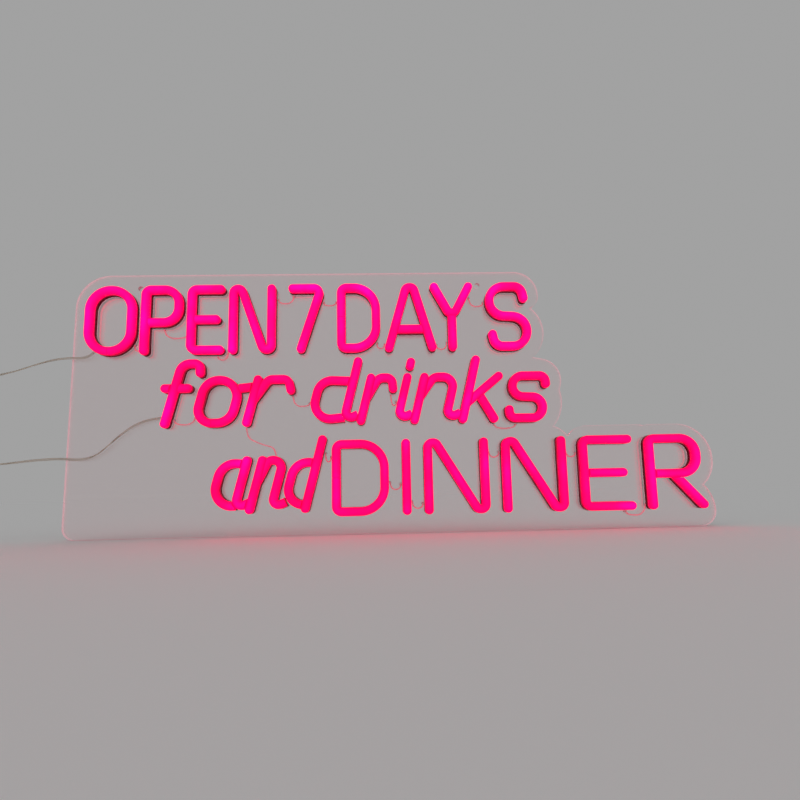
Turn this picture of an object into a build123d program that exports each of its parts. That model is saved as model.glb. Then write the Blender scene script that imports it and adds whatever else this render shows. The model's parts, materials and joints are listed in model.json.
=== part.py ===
from build123d import *
import math
import os

os.makedirs("parts", exist_ok=True)

# Neon advertising sign: LED neon-flex lettering on a contour-cut clear backboard.
# The sign is drawn flat, in board coordinates: x to the right and y up from the board's lower left
# corner, z out of its front face. place() then stands it up: X right, Y into the wall, Z up, with the
# origin on the wall, midway between the two fixing holes. All sizes are in millimetres.

# Backboard
BOARD_HEIGHT = 248.4
BOARD_THICKNESS = 5.0
GROOVE_DEPTH = 2.0
GROOVE_CLEARANCE = 0.1
TOP_LEFT_RADIUS = 32.0
BOTTOM_LEFT_RADIUS = 11.0
FIXING_HOLE_RADIUS = 2.5
FIXING_HOLES = [(60.3, 235.0), (384.5, 235.0)]

# Neon-flex tube, measured across and out of the board's face
TUBE_WIDTH = 8.0
TUBE_FRONT = 12.0
DOME_RADIUS = TUBE_WIDTH / 2
SHOULDER = 5.5
CHANNEL_WALL = 1.25
CHANNEL_FLOOR = 1.0
TONGUE_BOTTOM = 2.0
TONGUE_CLEARANCE = 0.05
BUTT_GAP = 0.2
SEAM_GAP = 0.15
BEND = 5.0
TIGHT_BEND = 4.35

# LED strip and chips inside the channel
STRIP_WIDTH = 5.0
STRIP_THICKNESS = 0.25
CHIP_LENGTH = 3.5
CHIP_WIDTH = 2.8
CHIP_HEIGHT = 0.8
CHIP_PITCH = 16.6
CHIP_END_MARGIN = 9.0

# Jumper wires, which run just above the board's face
WIRE_RADIUS = 0.5
WIRE_HEIGHT = 1.6
WIRE_BEND_SHARE = 0.45

# Supply leads, their wall clips and DC sockets
LEAD_RADIUS = 1.2
SOCKET_RADIUS = 5.0
SOCKET_LENGTH = 26.0
SOCKET_EDGE_RADIUS = 0.6
SOCKET_BORE_RADIUS = 2.75
SOCKET_BORE_DEPTH = 9.5
RELIEF_LENGTH = 12.0
RELIEF_RADIUS = 3.6
RELIEF_TIP_RADIUS = 1.7
PIN_RADIUS = 1.05
PIN_SETBACK = 0.8
CLIP_LENGTH = 7.0
CLIP_WIDTH = 13.0
CLIP_WALL = 1.5
CLIP_PAD = 1.4
CLIP_AXIS_Z = 0.0
CLIP_BORE_CLEARANCE = 0.35

# Lead routes, from the letter's base channel to the socket: chosen by hand
LEAD_1 = [
    (21.7, 172.7, 3.2),
    (16.2, 166.2, 3.5),
    (-1.3, 166.9, 4.4),
    (-20.0, 164.6, 3.6),
    (-46.0, 157.0, 1.2),
    (-70.0, 151.4, 0.0),
    (-84.0, 150.8, 0.0),
    (-93.0, 151.2, 0.0),
]
LEAD_2 = [
    (87.4, 109.1, 3.2),
    (79.0, 108.6, 3.4),
    (63.5, 103.9, 3.6),
    (48.5, 93.2, 3.8),
    (37.0, 82.0, 3.9),
    (26.0, 74.0, 4.0),
    (13.0, 71.6, 4.2),
    (-1.5, 73.2, 4.4),
    (-24.0, 72.6, 3.0),
    (-48.0, 70.2, 1.0),
    (-70.0, 68.6, 0.0),
    (-84.0, 68.2, 0.0),
    (-93.0, 68.6, 0.0),
]
CLIP_X = -77.0

# Lettering: baseline of the tube's centreline, heights and slope of the script
ROW_1_BASE = 172.0
ROW_1_HEIGHT = 59.0
ROW_2_BASE = 103.0
ROW_2_X_HEIGHT = 40.0
ROW_2_ASCENDER = 56.0
ROW_3_BASE = 20.2
ROW_3_HEIGHT = 61.1
AND_BASE = 24.0
AND_X_HEIGHT = 44.0
AND_ASCENDER = 62.0
SCRIPT_SLOPE = 0.25
FLICK = 8.0
FOOT_GAP = 0.5

HALF = TUBE_WIDTH / 2
WALL_Y = BOARD_THICKNESS
ORIGIN_X = (FIXING_HOLES[0][0] + FIXING_HOLES[1][0]) / 2
ORIGIN_Z = FIXING_HOLES[0][1]


def place(shape):
    """Stand a shape drawn in board coordinates up in the part's own frame."""
    return Pos(-ORIGIN_X, -WALL_Y, -ORIGIN_Z) * Rot(90, 0, 0) * shape


def save(name, solids):
    placed = [place(solid) for solid in solids]
    if len(placed) == 1:
        export_step(placed[0], f"parts/{name}.step")
        return
    export_step(Compound(children=placed), f"parts/{name}.step")


# ---------------------------------------------------------------- tube strokes


def stroke(points, radii=BEND, start="free", end="free"):
    """One length of tube: corner points, a bend radius for each, and what each end does.
    An end is free (rounded and capped), butt (it meets another length) or seam (cut square)."""
    corners = len(points) - 2
    bends = list(radii) if isinstance(radii, (list, tuple)) else [radii] * corners
    return {"points": points, "radii": bends, "start": start, "end": end}


def turn_at(points, i):
    """The angle, in radians, by which the path turns at corner i."""
    before = Vector(*points[i]) - Vector(*points[i - 1])
    after = Vector(*points[i + 1]) - Vector(*points[i])
    return math.radians(before.get_angle(after))


def bent_path(points, radii):
    """Straight runs joined by tangent arcs, each bend as asked or as large as its runs allow."""
    fitted = list(radii)
    for i in range(len(points) - 1):
        run = (Vector(*points[i + 1]) - Vector(*points[i])).length
        ends = [k for k in (i, i + 1) if 0 < k < len(points) - 1]
        tangents = {k: fitted[k - 1] * math.tan(turn_at(points, k) / 2) for k in ends}
        excess = sum(tangents.values()) / (0.985 * run)
        if excess > 1:
            for k in ends:
                fitted[k - 1] = fitted[k - 1] / excess
    if not fitted:
        return Polyline(*points)
    return FilletPolyline(*points, radius=fitted)


def across(path):
    """The plane across a flat path at its start: x to its left, y out of the board."""
    heading = path % 0
    return Plane(origin=path @ 0, x_dir=(-heading.Y, heading.X, 0), z_dir=heading)


def swept(path, outline):
    """Sweep a closed outline, given as edges in the plane across the path."""
    face = across(path) * make_face(outline)
    return sweep(face, path=path).solid()


def box_outline(half_width, bottom, top):
    corners = [(-half_width, bottom), (half_width, bottom), (half_width, top), (-half_width, top)]
    return Polyline(*corners, close=True).edges()


def channel_outline():
    inner = HALF - CHANNEL_WALL
    floor = CHANNEL_FLOOR - GROOVE_DEPTH
    corners = [
        (-HALF, SHOULDER),
        (-HALF, -GROOVE_DEPTH),
        (HALF, -GROOVE_DEPTH),
        (HALF, SHOULDER),
        (inner, SHOULDER),
        (inner, floor),
        (-inner, floor),
        (-inner, SHOULDER),
    ]
    return Polyline(*corners, close=True).edges()


def diffuser_outline():
    tongue = HALF - CHANNEL_WALL - TONGUE_CLEARANCE
    spring = TUBE_FRONT - DOME_RADIUS
    sides = Polyline(
        (HALF, spring),
        (HALF, SHOULDER),
        (tongue, SHOULDER),
        (tongue, TONGUE_BOTTOM),
        (-tongue, TONGUE_BOTTOM),
        (-tongue, SHOULDER),
        (-HALF, SHOULDER),
        (-HALF, spring),
    )
    dome = ThreePointArc((-HALF, spring), (0, TUBE_FRONT), (HALF, spring))
    return sides.edges() + dome.edges()


def end_frames(item, path):
    """The free ends of a stroke, each as its point and its outward direction."""
    frames = []
    if item["start"] == "free":
        frames.append((path @ 0, (path % 0) * -1))
    if item["end"] == "free":
        frames.append((path @ 1, path % 1))
    return frames


def half_round(point, outward, edges):
    """Half a turned piece beyond a stroke's end: an outline from the axis outwards, swung 180 degrees."""
    side = Vector(-outward.Y, outward.X, 0)
    plane = Plane(origin=point, x_dir=side, z_dir=outward)
    axis = Axis(point, (0, 0, -1))
    return revolve(plane * make_face(edges), axis=axis, revolution_arc=180).solid()


def dome_end(point, outward):
    spring = TUBE_FRONT - DOME_RADIUS
    sides = Polyline((0, TUBE_FRONT), (0, SHOULDER), (HALF, SHOULDER), (HALF, spring))
    middle = HALF * math.sqrt(0.5)
    dome = ThreePointArc((HALF, spring), (middle, spring + middle), (0, TUBE_FRONT))
    return half_round(point, outward, sides.edges() + dome.edges())


def cap_end(point, outward):
    corners = [(0, SHOULDER), (0, -GROOVE_DEPTH), (HALF, -GROOVE_DEPTH), (HALF, SHOULDER)]
    return half_round(point, outward, Polyline(*corners, close=True).edges())


def envelope(item, path, gap, bottom, top):
    """The whole space of a stroke, widened by a gap on each side, for cutting others back."""
    half = HALF + gap
    pieces = [swept(path, box_outline(half, bottom, top))]
    for point, _ in end_frames(item, path):
        disc = Cylinder(half, top - bottom, align=(Align.CENTER, Align.CENTER, Align.MIN))
        pieces.append((Pos(point.X, point.Y, bottom) * disc).solid())
    return pieces


def reach(item):
    """The box that a stroke's corner points fill, with its own width on each side."""
    xs = [x for x, _ in item["points"]]
    ys = [y for _, y in item["points"]]
    return min(xs) - TUBE_WIDTH, max(xs) + TUBE_WIDTH, min(ys) - TUBE_WIDTH, max(ys) + TUBE_WIDTH


def near(a, b):
    """True where two strokes' boxes overlap, so that a cut is worth trying."""
    left, right, bottom, top = reach(a)
    other_left, other_right, other_bottom, other_top = reach(b)
    return left < other_right and other_left < right and bottom < other_top and other_bottom < top


def cut_back(solid, tools):
    """Cut a length back from those it meets and keep the largest piece that is left."""
    if not tools:
        return solid
    left = solid - tools
    return max(left.solids(), key=lambda piece: piece.volume)


# ---------------------------------------------------------------- letterforms
# Each returns its strokes, in its own coordinates from the left end of its baseline. Butt strokes run
# to the middle of the length that they meet, and are cut back to its side afterwards.


def round_ring(width, height):
    bend = width / 2 - 2 * SEAM_GAP
    ring = [
        (width / 2 - SEAM_GAP, 0),
        (0, 0),
        (0, height),
        (width, height),
        (width, 0),
        (width / 2 + SEAM_GAP, 0),
    ]
    return stroke(ring, bend, "seam", "seam")


def cap_o(w, h):
    return [round_ring(w, h)]


def cap_p(w, h):
    bowl = 0.23 * h
    path = [(0, 0), (0, h), (w, h), (w, 0.46 * h), (HALF + BUTT_GAP, 0.46 * h)]
    return [stroke(path, [BEND, bowl, bowl], end="seam")]


def cap_e(w, h):
    back = stroke([(w, h), (0, h), (0, 0), (w, 0)])
    bar = stroke([(0, h / 2), (0.86 * w, h / 2)], start="butt")
    return [back, bar]


def cap_n(w, h):
    """One bent length: the sharp corners are two tight bends with a short flat between them."""
    flat = 7.6
    path = [(0, 0), (0, h), (flat, h), (w - flat, 0), (w, 0), (w, h)]
    return [stroke(path, TIGHT_BEND)]


def figure_7(w, h):
    return [stroke([(0, h), (w, h), (0.3 * w, 0)])]


def cap_d(w, h):
    bowl = 0.36 * h
    loop = [(0, h / 2 - SEAM_GAP), (0, 0), (w, 0), (w, h), (0, h), (0, h / 2 + SEAM_GAP)]
    return [stroke(loop, [BEND, bowl, bowl, BEND], "seam", "seam")]


def cap_a(w, h):
    apex = 3.6
    legs = [(0, 0), (w / 2 - apex, h), (w / 2 + apex, h), (w, 0)]
    bar_y = 0.3 * h
    inset = bar_y / h * (w / 2 - apex)
    bar = stroke([(inset, bar_y), (w - inset, bar_y)], start="butt", end="butt")
    return [stroke(legs, TIGHT_BEND), bar]


def cap_y(w, h):
    fork = 0.47 * h
    arms = stroke([(0, h), (w / 2, fork), (w, h)])
    stem = stroke([(w / 2, 0), (w / 2, fork + BEND)], end="butt")
    return [arms, stem]


def cap_i(w, h):
    return [stroke([(0, 0), (0, h)])]


def cap_s(w, h):
    hook = 0.15 * h
    bowl = 0.24 * h
    path = [
        (0.95 * w, 0.8 * h),
        (0.88 * w, h),
        (0, h),
        (0, 0.52 * h),
        (w, 0.48 * h),
        (w, 0),
        (0.12 * w, 0),
        (0.05 * w, 0.2 * h),
    ]
    return [stroke(path, [hook, bowl, bowl, bowl, bowl, hook])]


def cap_r(w, h):
    bowl = 0.24 * h
    waist = 0.47 * h
    loop = [(0, 0), (0, h), (0.93 * w, h), (0.93 * w, waist), (HALF + BUTT_GAP, waist)]
    head = stroke(loop, [BEND, bowl, bowl], end="seam")
    leg = stroke([(0.45 * w, waist), (w, 0)], start="butt")
    return [head, leg]


def script_f(w, h, a):
    stem = stroke([(0, 0), (0, a), (0.7 * w, a), (0.8 * w, a - 9)], [10, BEND])
    left_bar = stroke([(-9, 0.82 * h), (0, 0.82 * h)], end="butt")
    right_bar = stroke([(0, 0.82 * h), (12, 0.82 * h)], start="butt")
    return [stem, left_bar, right_bar]


def script_o(w, h, a):
    link = stroke([(w, 0.8 * h), (w + 15, 0.84 * h)], start="butt", end="butt")
    return [round_ring(w, h), link]


def script_r(w, h, a):
    stem = stroke([(0, 0), (0, h)])
    arm = stroke([(0, 0.5 * h), (0.3 * w, h), (0.85 * w, h), (w, 0.74 * h)], [8, 6], start="butt")
    return [stem, arm]


def script_n(w, h, a):
    stem = stroke([(0, 0), (0, h)])
    arch = [(0, 0.52 * h), (0.3 * w, h), (w, h), (w, 0), (w + FLICK + HALF, 0.14 * h)]
    return [stem, stroke(arch, [8, 9, BEND], "butt", "butt")]


def script_d(w, h, a):
    stem = stroke([(w, a), (w, 0), (w + FLICK + HALF, 0.14 * h)], end="butt")
    bowl = [(w, 0.93 * h), (0, 0.97 * h), (0, 0.01 * h), (w, 0.08 * h)]
    return [stem, stroke(bowl, 0.36 * h, "butt", "butt")]


def script_last_d(w, h, a):
    """The d at the end of a word, whose stem has no flick."""
    bowl = script_d(w, h, a)[1]
    return [stroke([(w, a), (w, 0)]), bowl]


def script_a(w, h, a):
    return script_d(w, h, h)


def script_i(w, h, a):
    stem = stroke([(0, h), (0, 0), (FLICK + HALF, 0.14 * h)], end="butt")
    dot = stroke([(0, h + 10.8), (0, h + 14.6)])
    return [stem, dot]


def script_k(w, h, a):
    stem = stroke([(0, 0), (0, a)])
    arm = stroke([(0, 0.36 * h), (0.86 * w, h)], start="butt")
    leg = stroke([(0.32 * w, 0.6 * h), (w, 0)], start="butt")
    return [stem, arm, leg]


def script_s(w, h, a):
    return cap_s(w, h)


# ---------------------------------------------------------------- the words
# Word, row, baseline, script slope, and its letters: name, form, left end of its baseline, width

WORDS = [
    ("open", 1, ROW_1_BASE, 0, [
        ("o", cap_o, 17.0, 39),
        ("p", cap_p, 68.6, 31),
        ("e", cap_e, 111.6, 27),
        ("n", cap_n, 150.6, 36),
    ]),
    ("seven", 1, ROW_1_BASE, 0, [
        ("7", figure_7, 206.4, 27),
    ]),
    ("days", 1, ROW_1_BASE, 0, [
        ("d", cap_d, 252.4, 33),
        ("a", cap_a, 297.4, 41),
        ("y", cap_y, 341.4, 33),
        ("s", cap_s, 394.4, 35),
    ]),
    ("for", 2, ROW_2_BASE, SCRIPT_SLOPE, [
        ("f", script_f, 90.5, 24),
        ("o", script_o, 117.0, 33),
        ("r", script_r, 165.0, 33),
    ]),
    ("drinks", 2, ROW_2_BASE, SCRIPT_SLOPE, [
        ("d", script_d, 223.0, 31),
        ("r", script_r, 270.0, 23),
        ("i", script_i, 304.0, 0),
        ("n", script_n, 320.0, 29),
        ("k", script_k, 365.0, 29),
        ("s", script_s, 405.0, 33),
    ]),
    ("and", 3, AND_BASE, SCRIPT_SLOPE, [
        ("a", script_a, 133.0, 22),
        ("n", script_n, 169.0, 19),
        ("d", script_last_d, 199.0, 20),
    ]),
    ("dinner", 3, ROW_3_BASE, 0, [
        ("d", cap_d, 247.0, 44),
        ("i", cap_i, 311.1, 0),
        ("n1", cap_n, 331.2, 52),
        ("n2", cap_n, 403.3, 52),
        ("e", cap_e, 475.4, 42),
        ("r", cap_r, 537.5, 47),
    ]),
]


# Jumper wires. Each joins two letters: how far right of the first one's right end and how far up it
# starts, the same from the second one's left end, and how far it hangs below the lower of the two.
JUMPERS = [
    (1, ("open", "o"), (1.7, 7.0), ("open", "p"), (-5.0, 6.0), 5.0),
    (1, ("open", "p"), (-15.0, 22.0), ("open", "e"), (-5.0, 16.0), 3.0),
    (1, ("open", "e"), (-3.0, -5.0), ("open", "n"), (-5.0, 1.0), 3.5),
    (1, ("open", "n"), (5.0, 50.0), ("seven", "7"), (0.5, 53.9), 4.0),
    (1, ("seven", "7"), (1.7, 47.0), ("days", "d"), (-5.0, 47.0), 3.5),
    (1, ("days", "d"), (0.3, 6.2), ("days", "a"), (-4.2, 5.0), 4.5),
    (1, ("days", "a"), (4.0, 4.0), ("days", "y"), (11.5, 6.0), 5.0),
    (1, ("days", "y"), (1.0, 50.0), ("days", "s"), (-5.0, 45.0), 4.0),
    (2, ("for", "f"), (-18.8, 4.0), ("for", "o"), (-2.3, 6.0), 4.5),
    (2, ("for", "r"), (2.2, 24.6), ("drinks", "d"), (-5.2, 18.0), 3.0),
    (2, ("drinks", "r"), (-1.0, 24.9), ("drinks", "i"), (-5.0, 18.0), 3.5),
    (2, ("drinks", "k"), (2.0, -5.0), ("drinks", "s"), (11.5, -5.0), 4.0),
    (3, ("and", "d"), (5.2, 50.0), ("dinner", "d"), (-5.0, 50.0), 4.5),
    (3, ("dinner", "d"), (5.0, 26.0), ("dinner", "i"), (-5.0, 24.0), 5.0),
    (3, ("dinner", "i"), (5.0, 8.0), ("dinner", "n1"), (-5.0, 6.0), 4.5),
    (3, ("dinner", "n1"), (5.0, 54.0), ("dinner", "n2"), (-5.0, 52.0), 5.0),
    (3, ("dinner", "n2"), (5.0, 56.0), ("dinner", "e"), (-5.0, 50.0), 4.0),
    (3, ("dinner", "e"), (-4.0, -5.0), ("dinner", "r"), (-5.0, 1.0), 4.0),
]
ROW_LINK = [
    (163.7, ROW_2_BASE - HALF - FOOT_GAP, WIRE_HEIGHT),
    (165.5, 89.0, WIRE_HEIGHT),
    (177.0, 83.5, WIRE_HEIGHT),
    (189.0, 80.0, WIRE_HEIGHT),
    (191.5, AND_BASE + AND_X_HEIGHT + HALF + FOOT_GAP, WIRE_HEIGHT),
]


def on_letter(letter, across, up):
    """A point given in a letter's own coordinates, sloped and moved to its place on the board."""
    return letter["x"] + across + letter["slope"] * up, letter["base"] + up


def drawn(letter, form):
    """A letter's strokes on the board."""
    width = letter["width"]
    if letter["word"] == "and":
        strokes = form(width, AND_X_HEIGHT, AND_ASCENDER)
    elif letter["row"] == 2:
        strokes = form(width, ROW_2_X_HEIGHT, ROW_2_ASCENDER)
    elif letter["row"] == 1:
        strokes = form(width, ROW_1_HEIGHT)
    else:
        strokes = form(width, ROW_3_HEIGHT)
    for item in strokes:
        item["points"] = [on_letter(letter, *point) for point in item["points"]]
    return strokes


def laid_out():
    """Every letter in reading order, with its word, row, name, place, width and strokes."""
    letters = []
    for word, row, base, slope, forms in WORDS:
        for name, form, x, width in forms:
            letter = {"word": word, "row": row, "name": name}
            letter.update(x=x, base=base, slope=slope, width=width)
            letter["strokes"] = drawn(letter, form)
            letters.append(letter)
    return letters


# ---------------------------------------------------------------- pieces


def chips_on(path, tools):
    """LED chips along a stroke, one every pitch, clear of its ends and of the lengths it meets."""
    room = path.length - 2 * CHIP_END_MARGIN
    count = max(1, int(room / CHIP_PITCH) + 1)
    first = (path.length - (count - 1) * CHIP_PITCH) / 2
    bottom = CHANNEL_FLOOR - GROOVE_DEPTH + STRIP_THICKNESS
    chips = []
    for i in range(count):
        share = (first + i * CHIP_PITCH) / path.length
        point = path @ share
        heading = path % share
        angle = math.degrees(math.atan2(heading.Y, heading.X))
        chip = Box(CHIP_LENGTH, CHIP_WIDTH, CHIP_HEIGHT, align=(Align.CENTER, Align.CENTER, Align.MIN))
        chips.append((Pos(point.X, point.Y, bottom) * Rot(0, 0, angle) * chip).solid())
    return [chip for chip in chips if all(chip.distance_to(tool) > 0 for tool in tools)]


def build_lettering(letters):
    """Make every length of tube, later lengths cut back from the ones they meet. The letters are
    taken from the right, so that each joining flick is cut back to the letter that follows it."""
    strip_bottom = CHANNEL_FLOOR - GROOVE_DEPTH
    laid = []
    grooves = []
    built = []
    order = list(reversed(letters))
    passes = [(letter, k) for k in (0, 1, 2) for letter in order if k < len(letter["strokes"])]
    for letter, k in passes:
        item = letter["strokes"][k]
        path = bent_path(item["points"], item["radii"])
        ends = end_frames(item, path)
        tools = [tool for other, envelopes in laid if near(item, other) for tool in envelopes]
        diffuser = swept(path, diffuser_outline())
        for point, outward in ends:
            diffuser = (diffuser + dome_end(point, outward)).solid()
        made = {
            "letter": letter,
            "diffuser": cut_back(diffuser, tools),
            "channel": cut_back(swept(path, channel_outline()), tools),
            "strip": cut_back(
                swept(path, box_outline(STRIP_WIDTH / 2, strip_bottom, strip_bottom + STRIP_THICKNESS)),
                tools,
            ),
            "caps": [cap_end(point, outward) for point, outward in ends],
            "chips": chips_on(path, tools),
        }
        built.append(made)
        laid.append((item, envelope(item, path, BUTT_GAP, -GROOVE_DEPTH - 1, TUBE_FRONT + 1)))
        grooves.extend(envelope(item, path, GROOVE_CLEARANCE, -GROOVE_DEPTH, 1))
    return built, grooves


def board_outline():
    """Straight on the left, top and bottom; on the right, round lobes that follow the lines' ends."""
    top = BOARD_HEIGHT
    quarter = math.sqrt(0.5)
    tl = TOP_LEFT_RADIUS
    bl = BOTTOM_LEFT_RADIUS
    foot = 14.4
    edges = [
        Line((bl, 0), (585.5, 0)),
        ThreePointArc((585.5, 0), (585.5 + foot * quarter, foot * (1 - quarter)), (585.5 + foot, foot)),
        ThreePointArc((585.5 + foot, foot), (597.8, 26.5), (590.6, 38)),
        ThreePointArc((590.6, 38), (598.6, 48.5), (601.3, 62)),
        ThreePointArc((601.3, 62), (592.3, 85.4), (570, 95.7)),
        Line((570, 95.7), (541, 95.7)),
        ThreePointArc((541, 95.7), (539, 95.3), (537.3, 94.3)),
        ThreePointArc((537.3, 94.3), (535.6, 95.3), (533.6, 95.7)),
        Line((533.6, 95.7), (482, 95.7)),
        ThreePointArc((482, 95.7), (471.5, 92.4), (465, 86)),
        ThreePointArc((465, 86), (459.5, 91.6), (451.9, 95.5)),
        ThreePointArc((451.9, 95.5), (460.4, 112.5), (459.5, 131)),
        ThreePointArc((459.5, 131), (460, 148.5), (447, 160.3)),
        Line((447, 160.3), (435.7, 162.6)),
        ThreePointArc((435.7, 162.6), (447.4, 186.5), (435.6, 212)),
        ThreePointArc((435.6, 212), (441.5, 216.2), (443.9, 224.5)),
        ThreePointArc((443.9, 224.5), (437.3, 241.3), (421, top)),
        Line((421, top), (tl, top)),
        ThreePointArc((tl, top), (tl * (1 - quarter), top - tl * (1 - quarter)), (0, top - tl)),
        Line((0, top - tl), (0, bl)),
        ThreePointArc((0, bl), (bl * (1 - quarter), bl * (1 - quarter)), (bl, 0)),
    ]
    return make_face(edges)


def build_board(grooves):
    board = extrude(board_outline(), amount=-BOARD_THICKNESS).solid()
    for x, y in FIXING_HOLES:
        hole = Cylinder(FIXING_HOLE_RADIUS, 3 * BOARD_THICKNESS)
        board = (board - Pos(x, y, 0) * hole).solid()
    return (board - grooves).solid()


def corner_radii(points):
    """For each corner, a share of the shorter run over the tangent of half the turn."""
    radii = []
    for i in range(1, len(points) - 1):
        before = (Vector(*points[i]) - Vector(*points[i - 1])).length
        after = (Vector(*points[i + 1]) - Vector(*points[i])).length
        radii.append(WIRE_BEND_SHARE * min(before, after) / math.tan(turn_at(points, i) / 2))
    return radii


def round_tube(points, radius):
    """A round wire along straight runs joined by tangent arcs, and its length."""
    path = FilletPolyline(*points, radius=corner_radii(points))
    section = Plane(origin=path @ 0, z_dir=path % 0) * Circle(radius)
    return sweep(section, path=path).solid(), path.length


def droop(start, end, sag):
    """A jumper wire that hangs just off the board's face in a loop, a little fuller on its left."""
    low = min(start[1], end[1]) - sag
    span = end[0] - start[0]
    loop = [
        start,
        (start[0] + 0.10 * span, start[1] + 0.70 * (low - start[1])),
        (start[0] + 0.38 * span, low),
        (start[0] + 0.70 * span, low + 0.06 * sag),
        (start[0] + 0.93 * span, end[1] + 0.62 * (low - end[1])),
        end,
    ]
    return round_tube([(x, y, WIRE_HEIGHT) for x, y in loop], WIRE_RADIUS)[0]


def build_jumpers(letters):
    """The jumper wires of each row, from the right of one letter to the left of another."""
    named = {(letter["word"], letter["name"]): letter for letter in letters}
    rows = {1: [], 2: [], 3: []}
    for row, left, (out, up), right, (across, high), sag in JUMPERS:
        start = on_letter(named[left], named[left]["width"] + out, up)
        rows[row].append(droop(start, on_letter(named[right], across, high), sag))
    return rows


def build_socket(before, end):
    """An in-line DC socket that continues a lead's last run: tapered relief, body, bore and pin."""
    base = Plane(origin=end, z_dir=Vector(*end) - Vector(*before))
    up = (Align.CENTER, Align.CENTER, Align.MIN)
    relief = Cone(RELIEF_TIP_RADIUS, RELIEF_RADIUS, RELIEF_LENGTH, align=up)
    barrel = Pos(0, 0, RELIEF_LENGTH) * Cylinder(SOCKET_RADIUS, SOCKET_LENGTH, align=up)
    mouth = RELIEF_LENGTH + SOCKET_LENGTH
    edges = barrel.edges().filter_by(GeomType.CIRCLE)
    barrel = fillet(edges, SOCKET_EDGE_RADIUS)
    bore = Pos(0, 0, mouth - SOCKET_BORE_DEPTH) * Cylinder(SOCKET_BORE_RADIUS, SOCKET_LENGTH, align=up)
    body = (relief + barrel - bore).solid()
    pin_length = SOCKET_BORE_DEPTH - PIN_SETBACK
    pin = Pos(0, 0, mouth - SOCKET_BORE_DEPTH) * Cylinder(PIN_RADIUS, pin_length, align=up)
    return base * body, base * fillet(pin.edges().group_by(Axis.Z)[-1], PIN_RADIUS / 2)


def build_clip(x, y):
    """An adhesive saddle clip on the wall, with the lead running through it along x."""
    width = CLIP_WIDTH
    top = CLIP_AXIS_Z + LEAD_RADIUS + CLIP_WALL
    pad = Box(CLIP_LENGTH, width, CLIP_PAD, align=(Align.CENTER, Align.CENTER, Align.MIN))
    hump_height = top + BOARD_THICKNESS
    hump_width = 2 * (LEAD_RADIUS + CLIP_WALL)
    hump = Box(CLIP_LENGTH, hump_width, hump_height, align=(Align.CENTER, Align.CENTER, Align.MIN))
    upper = hump.edges().filter_by(Axis.X).group_by(Axis.Z)[-1]
    clip = pad + fillet(upper, 0.8 * CLIP_WALL)
    bore = Rot(0, 90, 0) * Cylinder(LEAD_RADIUS + CLIP_BORE_CLEARANCE, 2 * CLIP_LENGTH)
    clip = Pos(x, y, -BOARD_THICKNESS) * clip - Pos(x, y, CLIP_AXIS_Z) * bore
    return clip.solid()


def build_lead(number, points):
    """A supply lead from its letter to its socket, with the wall clip that holds it."""
    tube, length = round_tube(points, LEAD_RADIUS)
    radii = [round(radius, 1) for radius in corner_radii(points)]
    ratio = tube.volume / (math.pi * LEAD_RADIUS**2 * length)
    print(f"lead {number}: {length:.1f} mm, volume ratio {ratio:.4f}, radii {radii}")
    body, pin = build_socket(points[-2], points[-1])
    save(f"lead_{number}", [tube])
    clip_y = (points[-3][1] + points[-2][1]) / 2
    save(f"lead_clip_{number}", [build_clip(CLIP_X, clip_y)])
    save(f"dc_socket_{number}", [body])
    save(f"dc_socket_pin_{number}", [pin])


def main():
    letters = laid_out()
    built, grooves = build_lettering(letters)
    save("backboard", [build_board(grooves)])
    for letter in letters:
        own = [made["diffuser"] for made in built if made["letter"] is letter]
        save(f"diffuser_{letter['word']}_{letter['name']}", own)
    for word, *_ in WORDS:
        save(f"base_channels_{word}", [m["channel"] for m in built if m["letter"]["word"] == word])
    jumpers = build_jumpers(letters)
    for row in (1, 2, 3):
        mine = [made for made in built if made["letter"]["row"] == row]
        save(f"led_strips_row_{row}", [made["strip"] for made in mine])
        save(f"led_chips_row_{row}", [chip for made in mine for chip in made["chips"]])
        save(f"end_caps_row_{row}", [cap for made in mine for cap in made["caps"]])
        save(f"jumper_wires_row_{row}", jumpers[row])
    save("row_link_wire", [round_tube(ROW_LINK, WIRE_RADIUS)[0]])
    build_lead(1, LEAD_1)
    build_lead(2, LEAD_2)


main()
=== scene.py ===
"""Neon advertising sign: materials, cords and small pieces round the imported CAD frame."""

import json
import math

import bmesh
import bpy
from mathutils import Matrix, Vector


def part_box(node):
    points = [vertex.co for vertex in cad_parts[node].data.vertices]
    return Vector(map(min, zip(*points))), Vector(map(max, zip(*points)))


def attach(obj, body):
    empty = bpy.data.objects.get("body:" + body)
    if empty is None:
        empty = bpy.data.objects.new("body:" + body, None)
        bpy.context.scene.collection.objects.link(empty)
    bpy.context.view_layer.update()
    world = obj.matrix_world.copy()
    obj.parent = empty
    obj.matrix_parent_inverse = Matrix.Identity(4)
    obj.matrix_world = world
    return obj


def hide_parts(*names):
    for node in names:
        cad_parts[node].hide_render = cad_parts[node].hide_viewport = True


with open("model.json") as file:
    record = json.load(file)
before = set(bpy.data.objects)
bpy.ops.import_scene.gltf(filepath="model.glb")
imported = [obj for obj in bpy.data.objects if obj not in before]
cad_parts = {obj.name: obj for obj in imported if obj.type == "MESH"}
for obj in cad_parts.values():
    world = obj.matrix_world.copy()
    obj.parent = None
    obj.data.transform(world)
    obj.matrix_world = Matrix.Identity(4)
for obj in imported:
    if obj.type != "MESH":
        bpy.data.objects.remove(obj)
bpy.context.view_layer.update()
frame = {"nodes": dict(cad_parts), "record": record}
nodes = frame["nodes"]
BODY = "root"
MM = 0.001

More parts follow.
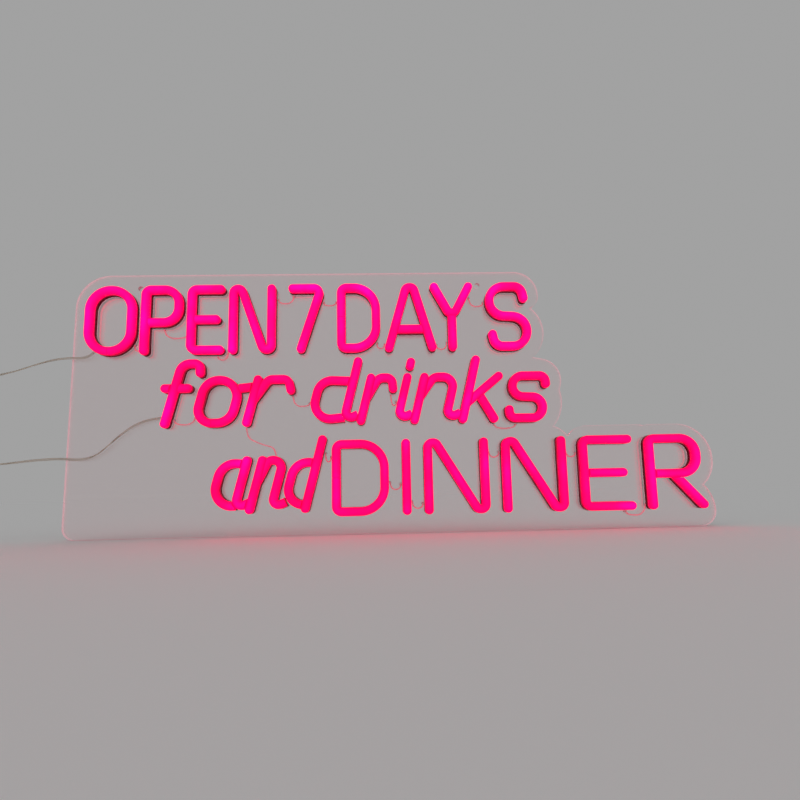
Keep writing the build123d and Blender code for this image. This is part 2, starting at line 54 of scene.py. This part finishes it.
# The board's front face and the layout's origin, worked out from the frame
board_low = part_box("backboard")[0]
FRONT_Y = board_low.y
TUBE_FRONT_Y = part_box("diffuser_dinner_i")[0].y
TUBE_PROUD = FRONT_Y - TUBE_FRONT_Y
fixing = next(mount for mount in frame["record"]["mounts"] if mount["name"] == "wall_fixing")
HOLE_SPACING = fixing["dims"]["spacing_x_mm"] * MM
HOLE_RADIUS = fixing["dims"]["hole_r_mm"] * MM


def on_board(x, y, z):
    """A point given in millimetres from the board's lower left corner, z out of its front face."""
    return Vector((board_low.x + x * MM, FRONT_Y - z * MM, board_low.z + y * MM))


# ---------------------------------------------------------------- camera
# The photograph's eye is 0.56 m in front of the sign, near its lower middle, looking up at it.

LENS = 27.0
SENSOR_WIDTH = 36.0
NEAR_CLIP = 0.01
EYE = on_board(288.1, 35.0, 559.7)
EYE_RIGHT = Vector((0.99932, -0.03019, -0.02111))
EYE_UP = Vector((0.01617, -0.15550, 0.98770))
EYE_BACK = Vector((-0.03310, -0.98737, -0.15491))


def make_camera():
    """The photograph's camera, from its own right, up and backward directions."""
    data = bpy.data.cameras.new("camera")
    data.lens = LENS
    data.sensor_width = SENSOR_WIDTH
    data.clip_start = NEAR_CLIP
    camera = bpy.data.objects.new("camera", data)
    bpy.context.scene.collection.objects.link(camera)
    turn = Matrix((EYE_RIGHT, EYE_UP, EYE_BACK)).transposed()
    camera.matrix_world = Matrix.Translation(EYE) @ turn.to_4x4()
    bpy.context.scene.camera = camera


# ---------------------------------------------------------------- supply leads
# The routes repeat the CAD leads' points: from the letter's base channel to the socket.

LEAD_WIDTH = 2.4 * MM
ROUTE_STEPS = 12
WEB_OVERLAP = 0.03 * MM
WEB_HALF_ANGLE = math.radians(26)
CORE_RADIUS = 0.25 * MM
CORE_SIDES = 8
LEAD_TWISTS = {1: math.radians(200), 2: math.radians(320)}
LEAD_ROUTES = {
    1: [
        (21.7, 172.7, 3.2),
        (16.2, 166.2, 3.5),
        (-1.3, 166.9, 4.4),
        (-20.0, 164.6, 3.6),
        (-46.0, 157.0, 1.2),
        (-70.0, 151.4, 0.0),
        (-84.0, 150.8, 0.0),
        (-93.0, 151.2, 0.0),
    ],
    2: [
        (87.4, 109.1, 3.2),
        (79.0, 108.6, 3.4),
        (63.5, 103.9, 3.6),
        (48.5, 93.2, 3.8),
        (37.0, 82.0, 3.9),
        (26.0, 74.0, 4.0),
        (13.0, 71.6, 4.2),
        (-1.5, 73.2, 4.4),
        (-24.0, 72.6, 3.0),
        (-48.0, 70.2, 1.0),
        (-70.0, 68.6, 0.0),
        (-84.0, 68.2, 0.0),
        (-93.0, 68.6, 0.0),
    ],
}


def new_piece(name, data, material):
    """A new object on the sign's body, with its material."""
    piece = bpy.data.objects.new(name, data)
    bpy.context.scene.collection.objects.link(piece)
    data.materials.append(material)
    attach(piece, BODY)
    return piece


def spline_data(name, route):
    """A NURBS curve with the route's points as its control points."""
    data = bpy.data.curves.new(name, "CURVE")
    data.dimensions = "3D"
    data.resolution_u = ROUTE_STEPS
    spline = data.splines.new("NURBS")
    spline.points.add(len(route) - 1)
    for point, place in zip(spline.points, route):
        point.co = (*on_board(*place), 1.0)
    spline.order_u = 3
    spline.use_endpoint_u = True
    return data


def line_of(data):
    """The points along a NURBS curve that has no bevel."""
    probe = bpy.data.objects.new("probe", data)
    bpy.context.scene.collection.objects.link(probe)
    bpy.context.view_layer.update()
    mesh = bpy.data.meshes.new_from_object(probe)
    line = [vertex.co.copy() for vertex in mesh.vertices]
    bpy.data.objects.remove(probe)
    bpy.data.meshes.remove(mesh)
    return line


def frames_along(line):
    """A heading, a side and an up direction at each point of a line, carried along without twist."""
    frames = []
    up = Vector((0, -1, 0))
    for i, point in enumerate(line):
        ahead = line[min(i + 1, len(line) - 1)] - line[max(i - 1, 0)]
        heading = ahead.normalized()
        up = (up - heading * up.dot(heading)).normalized()
        frames.append((point, heading, heading.cross(up), up))
    return frames


def tube_mesh(name, line, outline, twist=0.0):
    """A closed tube along a line. The outline is a loop of (side, up) offsets; twist is in radians."""
    mesh = bpy.data.meshes.new(name)
    bm = bmesh.new()
    rings = []
    frames = frames_along(line)
    for i, (point, _, side, up) in enumerate(frames):
        angle = twist * i / (len(frames) - 1)
        turned_side = side * math.cos(angle) + up * math.sin(angle)
        turned_up = up * math.cos(angle) - side * math.sin(angle)
        rings.append([bm.verts.new(point + turned_side * a + turned_up * b) for a, b in outline])
    count = len(outline)
    for first, second in zip(rings, rings[1:]):
        for k in range(count):
            after = (k + 1) % count
            bm.faces.new((first[k], first[after], second[after], second[k]))
    bm.faces.new(list(reversed(rings[0])))
    bm.faces.new(rings[-1])
    bmesh.ops.recalc_face_normals(bm, faces=bm.faces)
    for face in bm.faces:
        face.smooth = len(face.verts) == 4
    bm.to_mesh(mesh)
    bm.free()
    return mesh


def core_outline(middle, turn):
    """One copper core's ring, beside the lead's centre line and turned with its twist."""
    ring = []
    for k in range(CORE_SIDES):
        angle = 2 * math.pi * k / CORE_SIDES
        side = middle + CORE_RADIUS * math.cos(angle)
        up = CORE_RADIUS * math.sin(angle)
        turned_side = side * math.cos(turn) - up * math.sin(turn)
        turned_up = side * math.sin(turn) + up * math.cos(turn)
        ring.append((turned_side, turned_up))
    return ring


def twin_outline(width, count=10):
    """Two round cores side by side, joined by a thin web: a figure of eight."""
    radius = width / 4 + WEB_OVERLAP
    right = []
    for k in range(count + 1):
        angle = -math.pi + WEB_HALF_ANGLE + (2 * math.pi - 2 * WEB_HALF_ANGLE) * k / count
        right.append((width / 2 - radius + radius * math.cos(angle), radius * math.sin(angle)))
    left = [(-a, -b) for a, b in right]
    return right + left


def make_lead(number, jacket, copper):
    """A clear two-core lead with its two tinned copper cores showing through."""
    line = line_of(spline_data(f"route_{number}", LEAD_ROUTES[number]))
    name = f"twin_lead_{number}"
    twist = LEAD_TWISTS[number]
    lead = new_piece(name, tube_mesh(name, line, twin_outline(LEAD_WIDTH), twist), jacket)
    inner = line[1:-1]
    twist_per_step = twist / (len(line) - 1)
    for side, letter in ((-1, "a"), (1, "b")):
        name = f"lead_{number}_core_{letter}"
        ring = core_outline(side * LEAD_WIDTH / 4, twist_per_step)
        mesh = tube_mesh(name, inner, ring, twist_per_step * (len(inner) - 1))
        new_piece(name, mesh, copper)
    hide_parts(f"lead_{number}")


# ---------------------------------------------------------------- materials


class Nodes:
    """A small helper that builds one material's node tree."""

    def __init__(self, name):
        self.material = bpy.data.materials.new(name)
        self.material.use_nodes = True
        self.tree = self.material.node_tree
        self.shader = self.tree.nodes["Principled BSDF"]

    def add(self, kind, **settings):
        node = self.tree.nodes.new(kind)
        for key, value in settings.items():
            setattr(node, key, value)
        return node

    def join(self, source, target):
        self.tree.links.new(source, target)

    def put(self, **values):
        """Set plain values on the shader's own sockets; an underscore stands for a space."""
        for key, value in values.items():
            self.shader.inputs[key.replace("_", " ")].default_value = value

    def math(self, operation, first, second=None, clamp=False):
        node = self.add("ShaderNodeMath", operation=operation, use_clamp=clamp)
        for socket, value in zip(node.inputs, (first, second)):
            if value is None:
                continue
            if isinstance(value, (int, float)):
                socket.default_value = value
            else:
                self.join(value, socket)
        return node.outputs[0]

    def noise(self, scale, detail=3.0, roughness=0.5, stretch=(1, 1, 1)):
        place = self.add("ShaderNodeTexCoord")
        mapping = self.add("ShaderNodeMapping")
        mapping.inputs["Scale"].default_value = stretch
        self.join(place.outputs["Object"], mapping.inputs["Vector"])
        node = self.add("ShaderNodeTexNoise")
        node.inputs["Scale"].default_value = scale
        node.inputs["Detail"].default_value = detail
        node.inputs["Roughness"].default_value = roughness
        self.join(mapping.outputs["Vector"], node.inputs["Vector"])
        return node.outputs["Fac"]

    def ramp(self, value, stops):
        node = self.add("ShaderNodeValToRGB")
        while len(node.color_ramp.elements) < len(stops):
            node.color_ramp.elements.new(0.5)
        for element, (position, colour) in zip(node.color_ramp.elements, stops):
            element.position = position
            element.color = (*colour, 1.0)
        self.join(value, node.inputs["Fac"])
        return node.outputs["Color"]

    def bump(self, height, distance, strength=1.0):
        node = self.add("ShaderNodeBump")
        node.inputs["Distance"].default_value = distance
        node.inputs["Strength"].default_value = strength
        self.join(height, node.inputs["Height"])
        self.join(node.outputs["Normal"], self.shader.inputs["Normal"])

    def split(self, vector):
        """The outputs of a node that splits a vector into its X, Y and Z."""
        node = self.add("ShaderNodeSeparateXYZ")
        self.join(vector, node.inputs["Vector"])
        return node.outputs

    def place(self):
        """The point's own X, Y and Z in the shared frame."""
        return self.split(self.add("ShaderNodeTexCoord").outputs["Object"])

    def unevenness(self, scale, detail, amount):
        """Noise about zero, at most half the amount either way."""
        return self.math("MULTIPLY", self.math("SUBTRACT", self.noise(scale, detail), 0.5), amount)

    def facing_front(self):
        """1 where the surface faces straight out of the sign, 0 on its sides, less at its back."""
        normal = self.split(self.add("ShaderNodeNewGeometry").outputs["Normal"])
        return self.math("MULTIPLY", normal["Y"], -1.0)

    def near_fixing_hole(self):
        """1 within two radii of the axis of either fixing hole, and 0 elsewhere."""
        place = self.place()
        across = self.math("SUBTRACT", self.math("ABSOLUTE", place["X"]), HOLE_SPACING / 2)
        across_squared = self.math("MULTIPLY", across, across)
        up_squared = self.math("MULTIPLY", place["Z"], place["Z"])
        distance_squared = self.math("ADD", across_squared, up_squared)
        return self.math("LESS_THAN", distance_squared, (2 * HOLE_RADIUS) ** 2)

    def height_above_board(self):
        """0 at the board's face and 1 at the front of the tubes."""
        depth = self.math("SUBTRACT", FRONT_Y, self.place()["Y"])
        return self.math("DIVIDE", depth, TUBE_PROUD)


# The tubes' light. Each list gives a share of it for each level up a ramp from 0 to 1.

GLOW = (1.0, 0.0002, 0.061)
GLOW_STRENGTH = 5.0
RED_EVENING = 0.85
DOME_LIGHT = [
    (0.08, 0.08),
    (0.15, 0.17),
    (0.24, 0.28),
    (0.42, 0.42),
    (0.60, 0.54),
    (0.74, 0.70),
    (0.86, 1.0),
    (1.0, 1.4),
]
CHANNEL_LIGHT = [
    (0.0, 0.003),
    (0.18, 0.009),
    (0.30, 0.022),
    (0.39, 0.08),
    (0.46, 0.16),
]


def glow(share):
    """The light's own colour, at a share of its full strength. Its red evens out before its blue
    does, so that the strongest stretches turn to magenta."""
    red, green, blue = (share * part for part in GLOW)
    return (red / (1 + RED_EVENING * share), green, blue)


def lit_silicone(name, drive):
    """The glowing diffuser: fullest along its crown and weaker down its sides, in broad stronger and
    weaker stretches, with a faint unevenness from the row of LEDs under it. Drive scales its light."""
    m = Nodes(name)
    facing = m.math("MULTIPLY", m.facing_front(), 0.44)
    high = m.math("MULTIPLY", m.height_above_board(), 0.36)
    stretches = m.unevenness(24, 1.0, 0.85)
    spots = m.unevenness(85, 1.5, 0.18)
    level = m.math("ADD", m.math("ADD", facing, high), m.math("ADD", stretches, spots), clamp=True)
    light = m.ramp(level, [(place, glow(share * drive)) for place, share in DOME_LIGHT])
    m.join(light, m.shader.inputs["Emission Color"])
    m.put(
        Base_Color=(0.26, 0.003, 0.035, 1.0),
        Emission_Strength=GLOW_STRENGTH,
        Roughness=0.5,
        Specular_IOR_Level=0.03,
    )
    m.bump(m.noise(900, 2.0), 0.00003, 0.5)
    return m.material


def channel_silicone(name, lit):
    """The channel under the diffuser: light leaks through the top of its walls and hardly at its
    foot. Lit scales that light."""
    m = Nodes(name)
    height = m.math("ADD", m.height_above_board(), m.unevenness(160, 2.0, 0.10))
    leak = m.ramp(height, [(place, glow(share * lit)) for place, share in CHANNEL_LIGHT])
    m.join(leak, m.shader.inputs["Emission Color"])
    m.put(Emission_Strength=GLOW_STRENGTH, Roughness=0.55, Specular_IOR_Level=0.12)
    colour = m.ramp(m.noise(220, 3.0), [(0.3, (0.035, 0.002, 0.006)), (0.7, (0.055, 0.003, 0.010))])
    m.join(colour, m.shader.inputs["Base Color"])
    m.bump(m.noise(1100, 3.0), 0.00004, 0.5)
    return m.material


def acrylic():
    """Clear sheet. Its cut edges and groove walls carry the tubes' pink light as a painted glow and a
    pink painted tint, the drilled walls of its two fixing holes carry less of that glow and a dark
    painted shade, and its faces carry a trace of painted glow."""
    m = Nodes("acrylic")
    facing = m.math("ABSOLUTE", m.facing_front())
    on_edge = m.math("SUBTRACT", 1.0, facing, clamp=True)
    streaks = m.noise(420, 2.0, 0.5, (1, 0.08, 1))
    streaked = m.math("ADD", 0.65, m.math("MULTIPLY", streaks, 0.7))
    # Painted shade: the fixing holes' walls keep only part of the painted edge glow and get a dark
    # base colour.
    hole_wall = m.math("MULTIPLY", m.near_fixing_hole(), on_edge)
    kept_at_hole = m.math("SUBTRACT", 1.0, m.math("MULTIPLY", hole_wall, 0.45))
    level = m.math("MULTIPLY", m.math("MULTIPLY", on_edge, streaked, clamp=True), kept_at_hole)
    # Painted glow: emission on the cut edges and groove walls, and a faint one on the faces, stands in
    # for the tubes' light carried through the sheet.
    edge = m.ramp(level, [
        (0.0, (0.018, 0.0, 0.0012)),
        (0.35, (0.05, 0.0, 0.006)),
        (1.0, (0.42, 0.003, 0.055)),
    ])
    m.join(edge, m.shader.inputs["Emission Color"])
    # Painted light in the base colour: a pink tint on the edges for the tubes' light, and dark on the
    # fixing holes' walls as painted shade.
    painted_glow_and_shade = m.math("ADD", m.math("MULTIPLY", level, 0.8), hole_wall, clamp=True)
    tint = m.ramp(painted_glow_and_shade, [
        (0.0, (1.0, 0.975, 0.982)),
        (0.28, (1.0, 0.80, 0.86)),
        (0.8, (1.0, 0.30, 0.46)),
        (1.0, (0.22, 0.13, 0.15)),
    ])
    m.join(tint, m.shader.inputs["Base Color"])
    m.put(
        Emission_Strength=1.0,
        Transmission_Weight=1.0,
        Roughness=0.08,
        IOR=1.49,
        Coat_Weight=1.0,
        Coat_Roughness=0.16,
        Coat_IOR=2.9,
    )
    return m.material


def clear_plastic(name, tint, roughness, transmission, lit=0.0):
    """Clear or milky plastic. Lit is how much of the tubes' light it carries along inside it."""
    m = Nodes(name)
    if lit:
        patches = m.ramp(m.noise(150, 2.0), [(0.3, glow(0.45 * lit)), (0.7, glow(lit))])
        m.join(patches, m.shader.inputs["Emission Color"])
        m.put(Emission_Strength=1.0)
    m.put(Transmission_Weight=transmission, Roughness=roughness, IOR=1.46)
    pale = tuple(min(1.0, part * 1.12) for part in tint)
    colour = m.ramp(m.noise(600, 2.0), [(0.35, tint), (0.7, pale)])
    m.join(colour, m.shader.inputs["Base Color"])
    m.bump(m.noise(1500, 2.0), 0.00002, 0.4)
    return m.material


SOCKET_DARK = (0.018, 0.018, 0.020)
SOCKET_PALE = (0.030, 0.030, 0.033)


def moulded(name, low, high, roughness, grain):
    """Moulded plastic with a fine spark-eroded grain and slightly uneven colour."""
    m = Nodes(name)
    colour = m.ramp(m.noise(300, 3.0), [(0.35, low), (0.65, high)])
    m.join(colour, m.shader.inputs["Base Color"])
    m.put(Roughness=roughness)
    m.bump(m.noise(2600, 3.0), grain, 0.6)
    return m.material


def metal(name, colour, roughness):
    """Plated or drawn metal with slightly darker streaks."""
    m = Nodes(name)
    dark = tuple(part * 0.82 for part in colour)
    streaks = m.ramp(m.noise(900, 3.0, 0.6, (1, 6, 1)), [(0.3, dark), (0.7, colour)])
    m.join(streaks, m.shader.inputs["Base Color"])
    m.put(Metallic=1.0, Roughness=roughness)
    return m.material


def flex_circuit():
    """White flexible circuit with small bare patches of copper."""
    m = Nodes("flex_circuit")
    colour = m.ramp(m.noise(500, 2.0), [
        (0.45, (0.80, 0.79, 0.74)),
        (0.62, (0.86, 0.85, 0.80)),
        (0.68, (0.72, 0.42, 0.22)),
    ])
    m.join(colour, m.shader.inputs["Base Color"])
    m.put(Roughness=0.45)
    return m.material


def led_chip():
    """Yellow chip package, lit where it faces the diffuser."""
    m = Nodes("led_chip")
    light = m.ramp(m.facing_front(), [(0.2, (0.2, 0.0, 0.03)), (0.9, (1.0, 0.03, 0.4))])
    m.join(light, m.shader.inputs["Emission Color"])
    m.put(Base_Color=(0.9, 0.78, 0.35, 1.0), Emission_Strength=1.0, Roughness=0.25)
    return m.material


# ---------------------------------------------------------------- adhesive dabs

MERGE = 1e-6
WIRE_END_REACH = 1.05 * MM
DAB_SIZE = 1.25
DAB_SIZE_SPREAD = 0.3
DAB_LENGTH = 1.15 * MM
DAB_WIDTH = 0.9 * MM
DAB_HEIGHT = 1.35 * MM
DAB_LIFT = 0.02 * MM


def loose_ends(node):
    """The two end points of each separate wire in a CAD node: the middles of its end discs."""
    bm = bmesh.new()
    bm.from_mesh(nodes[node].data)
    bmesh.ops.remove_doubles(bm, verts=bm.verts, dist=MERGE)
    ends = []
    seen = set()
    for start in bm.verts:
        if start.index in seen:
            continue
        island = []
        stack = [start]
        seen.add(start.index)
        while stack:
            vert = stack.pop()
            island.append(vert.co.copy())
            for edge in vert.link_edges:
                other = edge.other_vert(vert)
                if other.index not in seen:
                    seen.add(other.index)
                    stack.append(other)
        for pick in (min, max):
            tip = pick(island, key=lambda co: co.x)
            disc = [co for co in island if (co - tip).length < WIRE_END_REACH]
            ends.append(sum(disc, Vector()) / len(disc))
    bm.free()
    return ends


def dab_mesh(name, places):
    """Small domed dabs of clear adhesive on the board's face, each a little different."""
    bm = bmesh.new()
    for i, place in enumerate(places):
        size = DAB_SIZE + DAB_SIZE_SPREAD * math.sin(2.7 * i + 0.4)
        turn = Matrix.Rotation(1.9 * i, 4, "Y")
        shape = Matrix.Diagonal((DAB_LENGTH * size, DAB_HEIGHT, DAB_WIDTH * size, 1.0))
        centre = Matrix.Translation((place.x, FRONT_Y, place.z))
        dome = bmesh.ops.create_uvsphere(
            bm, u_segments=16, v_segments=9, radius=1.0, matrix=centre @ turn @ shape
        )
        for vert in dome["verts"]:
            vert.co.y = min(vert.co.y, FRONT_Y - DAB_LIFT)
    bmesh.ops.remove_doubles(bm, verts=bm.verts, dist=MERGE)
    bmesh.ops.dissolve_degenerate(bm, dist=MERGE, edges=bm.edges)
    for face in bm.faces:
        face.smooth = True
    mesh = bpy.data.meshes.new(name)
    bm.to_mesh(mesh)
    bm.free()
    return mesh


# ---------------------------------------------------------------- studio

STUDIO_LEVEL = 0.36
FLOOR_ALBEDO = 0.86
FLOOR_HALF_WIDTH = 60.0
FLOOR_GAP = 0.2 * MM
OVERHEAD_SPREAD = math.radians(60)
OVERHEAD_TILT = math.radians(30)
OVERHEAD_TURN = math.radians(-25)


def make_studio():
    """A plain pale floor under the sign, an even pale world and a soft light from above. The light
    adds what the floor doesn't reflect, so that the floor and the world meet without a line."""
    m = Nodes("studio_floor")
    grey = (FLOOR_ALBEDO, FLOOR_ALBEDO, FLOOR_ALBEDO, 1.0)
    m.put(Base_Color=grey, Roughness=0.9, Specular_IOR_Level=0.0)
    bm = bmesh.new()
    bmesh.ops.create_grid(bm, x_segments=1, y_segments=1, size=FLOOR_HALF_WIDTH)
    mesh = bpy.data.meshes.new("floor")
    bm.to_mesh(mesh)
    bm.free()
    floor = bpy.data.objects.new("floor", mesh)
    floor.location.z = board_low.z - FLOOR_GAP
    mesh.materials.append(m.material)
    bpy.context.scene.collection.objects.link(floor)

    world = bpy.data.worlds.new("studio")
    world.use_nodes = True
    background = world.node_tree.nodes["Background"]
    background.inputs["Color"].default_value = (1.0, 1.0, 1.0, 1.0)
    background.inputs["Strength"].default_value = STUDIO_LEVEL
    bpy.context.scene.world = world

    data = bpy.data.lights.new("overhead", "SUN")
    data.angle = OVERHEAD_SPREAD
    data.energy = math.pi * STUDIO_LEVEL * (1 / FLOOR_ALBEDO - 1) / math.cos(OVERHEAD_TILT)
    light = bpy.data.objects.new("overhead", data)
    light.rotation_euler = (OVERHEAD_TILT, 0, OVERHEAD_TURN)
    light.visible_glossy = False
    light.visible_transmission = False
    bpy.context.scene.collection.objects.link(light)
    bpy.context.scene.view_settings.view_transform = "Standard"


# ---------------------------------------------------------------- the sign


def dress():
    """Give every CAD node its material, by the first line here that its name starts with. Row 1 has
    a lead of its own and rows 2 and 3 share the other, so row 1 burns a little stronger."""
    strong = lit_silicone("lit_silicone_row_1", 1.2)
    weak = lit_silicone("lit_silicone_rows_2_3", 0.87)
    wire = clear_plastic("wire_jacket", (0.90, 0.62, 0.68), 0.2, 0.4, lit=0.30)
    finishes = [
        ("backboard", acrylic()),
        ("diffuser_open", strong),
        ("diffuser_seven", strong),
        ("diffuser_days", strong),
        ("diffuser", weak),
        ("base_channels", channel_silicone("channel_silicone", 1.0)),
        ("end_caps", channel_silicone("cap_silicone", 0.8)),
        ("led_strips", flex_circuit()),
        ("led_chips", led_chip()),
        ("jumper_wires", wire),
        ("row_link_wire", wire),
        ("lead_1", wire),
        ("lead_2", wire),
        ("lead_clip", clear_plastic("clip_nylon", (0.86, 0.86, 0.84), 0.3, 0.35)),
        ("dc_socket_pin", metal("nickel", (0.80, 0.79, 0.77), 0.2)),
        ("dc_socket", moulded("socket_plastic", SOCKET_DARK, SOCKET_PALE, 0.42, 0.00004)),
    ]
    for name, node in nodes.items():
        material = next(finish for start, finish in finishes if name.startswith(start))
        node.data.materials.clear()
        node.data.materials.append(material)


make_camera()
jacket = clear_plastic("lead_jacket", (0.95, 0.93, 0.90), 0.10, 0.97)
copper = metal("tinned_copper", (0.95, 0.80, 0.66), 0.35)
for number in (1, 2):
    make_lead(number, jacket, copper)
dress()
adhesive = clear_plastic("adhesive", (0.85, 0.80, 0.80), 0.15, 0.85)
for row in (1, 2, 3):
    places = loose_ends(f"jumper_wires_row_{row}")
    new_piece(f"adhesive_dabs_row_{row}", dab_mesh(f"adhesive_dabs_row_{row}", places), adhesive)
make_studio()
